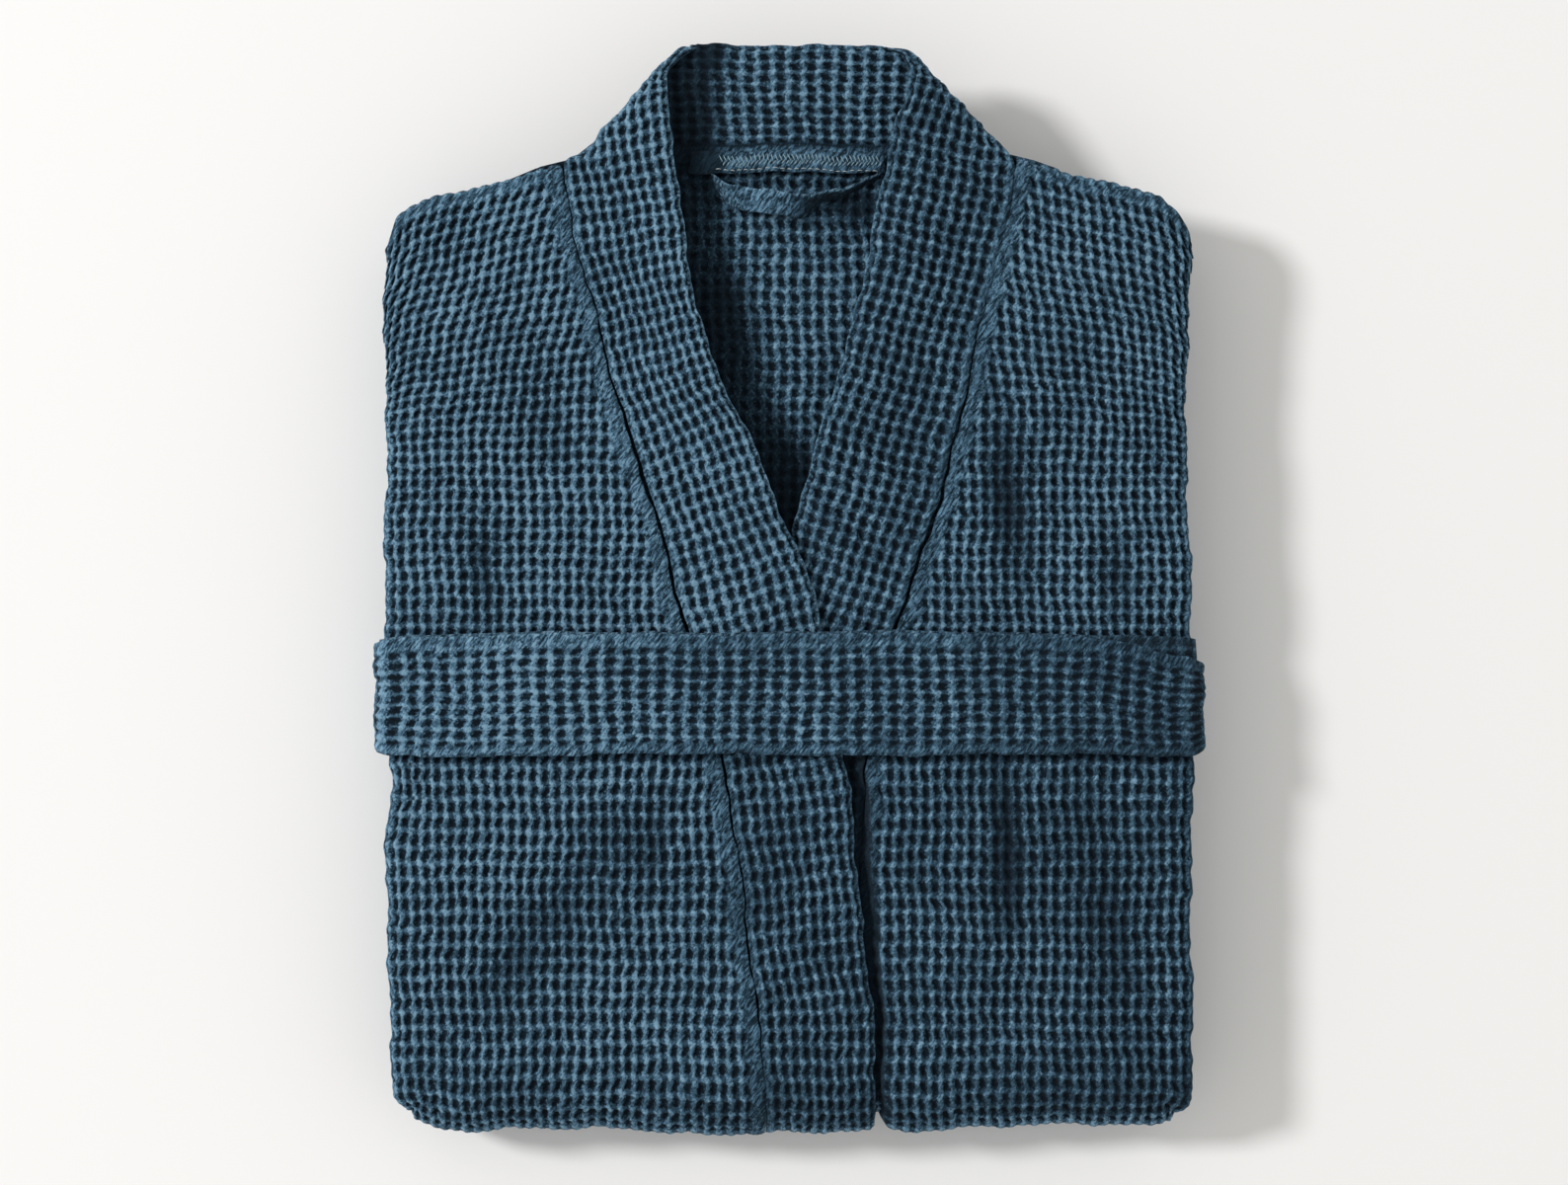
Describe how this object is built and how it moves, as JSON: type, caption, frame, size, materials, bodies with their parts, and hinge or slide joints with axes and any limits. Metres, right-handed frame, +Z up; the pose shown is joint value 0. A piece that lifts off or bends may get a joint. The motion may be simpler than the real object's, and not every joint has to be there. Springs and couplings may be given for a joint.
{
  "type": "folded bathrobe",
  "caption": "Waffle-weave bathrobe folded into a flat pack, with a kimono collar, a hanging loop and its belt wrapped twice round it.",
  "frame": {"origin": "middle of the base of the bounding box, on the surface the folded robe lies on", "axes": "+Z up, out of the robe's front; +Y towards the collar; +X towards the wearer's left side"},
  "size_m": [0.3636, 0.472, 0.0584],
  "materials": {
    "waffle": "matte, fuzzy waffle weave",
    "belt_cloth": "matte, fuzzy waffle weave with stitched edges",
    "tape_cloth": "matte twill tape with pale stitching"
  },
  "bodies": {
    "robe": {"back_panel": "waffle", "front_panel_right": "waffle", "front_panel_left": "waffle", "front_band_right": "waffle", "front_band_left": "waffle", "collar_neck": "waffle", "neck_tape": "tape_cloth", "sleeve_right": "waffle", "sleeve_left": "waffle", "cuff_right": "waffle", "cuff_left": "waffle", "pocket_right": "waffle", "pocket_left": "waffle", "belt_loop_right": "waffle", "belt_loop_left": "waffle"},
    "belt": {"belt": "belt_cloth"},
    "hanging_loop": {"hanging_loop": "tape_cloth"}
  },
  "joints": [
    {"name": "belt_slide", "type": "slide", "parent": "robe", "child": "belt", "axis": [0, -1, 0], "range_m": [0, 0.25]},
    {"name": "loop_lift", "type": "hinge", "parent": "robe", "child": "hanging_loop", "pos_m": [0.002, 0.1802, 0.0496], "axis": [-1, 0, 0], "range_deg": [0, 150]}
  ]
}
